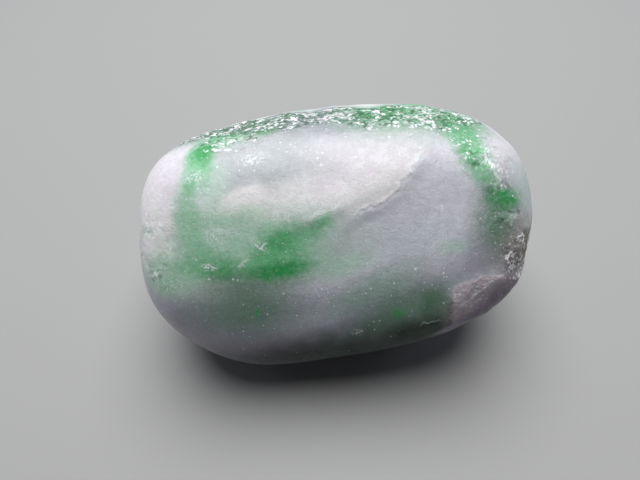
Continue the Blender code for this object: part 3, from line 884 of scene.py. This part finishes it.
@dataclass
class BoulderSurface:
    """The boulder's fine surface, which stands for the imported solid."""

    name: str = "boulder_surface"
    weld: float = 0.000001
    quad_angle: float = math.radians(40.0)
    levels: int = 2
    near_line: float = 0.9
    line_least: float = 0.05
    region_least: float = 0.6
    crown_back: float = 4.0
    edge_breadth: float = 0.14
    edge_reach: float = 1.6
    side_limit: float = 5.0
    jag_size: float = 0.55
    jag_push: float = 0.26
    skin_grain: float = 0.0011
    skin_depth: float = 0.00003
    crown_grain: float = 0.0006
    crown_depth: float = 0.00016
    crust_grain: float = 0.0008
    crust_depth: float = 0.00020
    cloud_detail: int = 2
    move_least: float = 0.002

    def build(self) -> Piece:
        """The finished surface, dressed."""
        piece = self.copied()
        self.cut_finer(piece)
        self.cut_detail(piece)
        places, normals = self.measured(piece)
        self.break_surface(piece, places, normals)
        self.roughen(piece, self.region_shares(places))
        piece.data.materials.clear()
        piece.data.materials.append(JadeiteFinish().build())
        select_only(piece)
        bpy.ops.object.shade_smooth()
        return piece

    def copied(self) -> Piece:
        """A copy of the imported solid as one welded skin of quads."""
        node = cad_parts[NODE]
        piece = node.copy()
        piece.data = node.data.copy()
        piece.name = self.name
        piece.parent = None
        piece.matrix_world = Matrix.Identity(4)
        bpy.context.scene.collection.objects.link(piece)
        select_only(piece)
        bpy.ops.object.mode_set(mode="EDIT")
        bpy.ops.mesh.select_all(action="SELECT")
        bpy.ops.mesh.remove_doubles(threshold=self.weld)
        bpy.ops.mesh.tris_convert_to_quads(face_threshold=self.quad_angle,
                                           shape_threshold=self.quad_angle)
        bpy.ops.object.mode_set(mode="OBJECT")
        return piece

    def cut_finer(self, piece: Piece) -> None:
        """Rounds the solid's facets away with smooth subdivision."""
        finer = piece.modifiers.new("finer", "SUBSURF")
        finer.levels = self.levels
        finer.render_levels = self.levels
        bpy.ops.object.modifier_apply(modifier=finer.name)

    def measured(self, piece: Piece) -> tuple[Values, Values]:
        """The points in millimetres and their outward directions, one to a row."""
        count = len(piece.data.vertices)
        places = np.empty(count * 3)
        normals = np.empty(count * 3)
        piece.data.vertices.foreach_get("co", places)
        piece.data.vertex_normals.foreach_get("vector", normals)
        return places.reshape(count, 3) / MM, normals.reshape(count, 3)

    def region_shares(self, places: Values) -> dict[str, Values]:
        """How far each place belongs to the crystal patches and to the crust."""
        regions = {"crystal": CRYSTAL_PATCHES, "crust": CRUST_PATCHES}
        return {name: np.max([patch.share(places) for patch in patches], axis=0)
                for name, patches in regions.items()}

    def cut_detail(self, piece: Piece) -> None:
        """Subdivides once more along the broken lines, on the crown and on the crust."""
        places, normals = self.measured(piece)
        shares = self.region_shares(places)
        wanted = (shares["crystal"] > self.region_least) & (places[:, 1] < self.crown_back)
        wanted |= shares["crust"] > self.region_least
        for line in BREAKS:
            side, held = line.measure(places, normals)
            wanted |= (np.abs(side) < self.near_line) & (held > self.line_least)
        bpy.ops.object.mode_set(mode="EDIT")
        bpy.ops.mesh.select_mode(type="FACE")
        bpy.ops.mesh.select_all(action="DESELECT")
        bpy.ops.object.mode_set(mode="OBJECT")
        for polygon in piece.data.polygons:
            polygon.select = all(wanted[index] for index in polygon.vertices)
        bpy.ops.object.mode_set(mode="EDIT")
        bpy.ops.mesh.subdivide(number_cuts=1, smoothness=0.0, ngon=False)
        bpy.ops.mesh.select_all(action="DESELECT")
        bpy.ops.object.mode_set(mode="OBJECT")

    def break_surface(self, piece: Piece, places: Values,
                      normals: Values) -> None:
        """Draws each broken line's step together into a crisp and jagged edge."""
        jag = np.array([noise.noise(Vector(place) / self.jag_size) for place in places])
        for line in BREAKS:
            side, held = line.measure(places, normals)
            spread = line.height * (eased(side / line.breadth + 0.5) - 0.5)
            side = side + jag * self.jag_push
            crisp = line.crisp_height * (eased(side / self.edge_breadth + 0.5) - 0.5)
            fade = eased(1.0 - np.abs(side) / self.edge_reach)
            change = (crisp - spread) * held * fade
            depth = np.abs(change).max()
            for name, way in (("_rise", 1.0), ("_fall", -1.0)):
                self.displace(piece, line.name + name,
                              np.clip(way * change / depth, 0.0, 1.0), way * depth * MM)
            self.note(piece, line.name + "_side",
                      np.clip(side, -self.side_limit, self.side_limit))
            self.note(piece, line.name + "_held", held)

    def roughen(self, piece: Piece, shares: dict[str, Values]) -> None:
        """Gives the skin, the crown and the crust their own relief."""
        everywhere = np.ones(len(piece.data.vertices))
        for name, share, kind, grain, depth in (
                ("skin", everywhere, "CLOUDS", self.skin_grain, self.skin_depth),
                ("crown", shares["crystal"], "VORONOI", self.crown_grain, self.crown_depth),
                ("crust", shares["crust"], "CLOUDS", self.crust_grain, self.crust_depth)):
            self.displace(piece, name, share, depth, self.texture(name, kind, grain))
        for name, share in shares.items():
            self.note(piece, name, share)

    def texture(self, name: str, kind: str, grain: float) -> bpy.types.Texture:
        """A displacement texture whose lumps have a size in metres."""
        texture = bpy.data.textures.new(name, kind)
        texture.noise_scale = grain
        if kind == "CLOUDS":
            texture.noise_depth = self.cloud_detail
        return texture

    def displace(self, piece: Piece, name: str, shares: Values, depth: float,
                 texture: bpy.types.Texture | None = None) -> None:
        """Moves the surface in or out by a depth, where and as far as the shares say.

        Args:
            piece: the stone.
            name: the move's name.
            shares: how far each point is moved, from 0 to 1.
            depth: the full move along the outward direction, in metres.
            texture: what the move varies with, if it varies.
        """
        group = piece.vertex_groups.new(name=name)
        for index in np.flatnonzero(shares > self.move_least):
            group.add([int(index)], float(shares[index]), "REPLACE")
        move = piece.modifiers.new(name, "DISPLACE")
        move.vertex_group = name
        move.strength = depth
        move.mid_level = 0.5 if texture else 0.0
        move.texture = texture
        bpy.ops.object.modifier_apply(modifier=move.name)
        piece.vertex_groups.remove(piece.vertex_groups[name])

    def note(self, piece: Piece, name: str, values: Values) -> None:
        """Keeps a value for each point as an attribute that the finish reads."""
        layer = piece.data.attributes.new(name, "FLOAT", "POINT")
        layer.data.foreach_set("value", values.astype(np.float32))


@dataclass
class Studio:
    """A plain pale floor, soft light from above and behind, and the camera."""

    floor_size: float = 1.6
    floor_tone: float = 0.38
    floor_roughness: float = 0.85
    sky_tone: Triple = (0.93, 0.96, 1.0)
    sky_strength: float = 0.05
    key_place: Triple = (0.0, 0.07, 0.27)
    key_size: float = 0.26
    key_power: float = 1.10
    key_tone: Triple = (1.0, 1.0, 1.0)
    rim_places: tuple[Triple, ...] = ((-0.24, 0.13, 0.07), (0.24, 0.13, 0.07))
    rim_size: float = 0.08
    rim_power: float = 0.05
    rim_tone: Triple = (0.72, 0.82, 1.0)
    camera_place: Triple = (-0.003555, -0.030627, 0.049088)
    camera_heading: float = math.radians(-4.0)
    camera_pitch: float = math.radians(36.65)
    camera_roll: float = math.radians(-1.243)
    camera_lens: float = 27.183
    camera_sensor: float = 36.0

    def build(self) -> None:
        """Sets the whole studio up."""
        self.lay_floor()
        self.light_sky()
        self.hang_lamps()
        self.place_camera()
        bpy.context.scene.view_settings.view_transform = "Standard"

    def lay_floor(self) -> None:
        """The floor, which isn't part of the object."""
        bpy.ops.object.select_all(action="DESELECT")
        bpy.ops.mesh.primitive_plane_add(size=self.floor_size)
        floor = bpy.context.object
        floor.name = "floor"
        material = bpy.data.materials.new("pale_floor")
        material.use_nodes = True
        shader = material.node_tree.nodes["Principled BSDF"]
        shader.inputs["Base Color"].default_value = (*(self.floor_tone,) * 3, 1.0)
        shader.inputs["Roughness"].default_value = self.floor_roughness
        floor.data.materials.append(material)

    def light_sky(self) -> None:
        """Soft light from all round."""
        world = bpy.data.worlds.new("sky")
        world.use_nodes = True
        sky = world.node_tree.nodes["Background"]
        sky.inputs["Color"].default_value = (*self.sky_tone, 1.0)
        sky.inputs["Strength"].default_value = self.sky_strength
        bpy.context.scene.world = world

    def hang_lamps(self) -> None:
        """A broad soft lamp above the stone, and a weak one behind each of its ends."""
        self.hang("key", self.key_place, self.key_size, self.key_power, self.key_tone)
        for name, place in zip(("left", "right"), self.rim_places):
            self.hang(name, place, self.rim_size, self.rim_power, self.rim_tone)

    def hang(self, name: str, place: Triple, size: float, power: float, tone: Triple) -> None:
        """Hangs one round lamp, turned toward the stone.

        Args:
            name: the lamp's name.
            place: where it hangs, in metres.
            size: its breadth in metres.
            power: its power in watts.
            tone: its colour.
        """
        lamp = bpy.data.lights.new(name, "AREA")
        lamp.shape = "DISK"
        lamp.size = size
        lamp.energy = power
        lamp.color = tone
        holder = bpy.data.objects.new(name, lamp)
        holder.location = place
        holder.rotation_euler = (-Vector(place)).to_track_quat("-Z", "Y").to_euler()
        bpy.context.scene.collection.objects.link(holder)

    def place_camera(self) -> None:
        """The camera, close above the front of the stone."""
        lens = bpy.data.cameras.new("camera")
        lens.lens = self.camera_lens
        lens.sensor_width = self.camera_sensor
        lens.clip_start = MM
        camera = bpy.data.objects.new("camera", lens)
        turn = (Matrix.Rotation(self.camera_heading, 3, "Z")
                @ Matrix.Rotation(self.camera_pitch, 3, "X")
                @ Matrix.Rotation(self.camera_roll, 3, "Z"))
        camera.matrix_world = Matrix.LocRotScale(Vector(self.camera_place), turn, None)
        bpy.context.scene.collection.objects.link(camera)
        bpy.context.scene.camera = camera


def main() -> None:
    """Builds the stone's surface and the studio around it."""
    logging.basicConfig(level=logging.INFO, format="%(message)s")
    Studio().build()
    log.info("studio ready")
    surface = BoulderSurface().build()
    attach(surface, "root")
    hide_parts(NODE)
    log.info("%s: %d faces", surface.name, len(surface.data.polygons))
    log.info("sizes written")


if __name__ == "__main__":
    main()
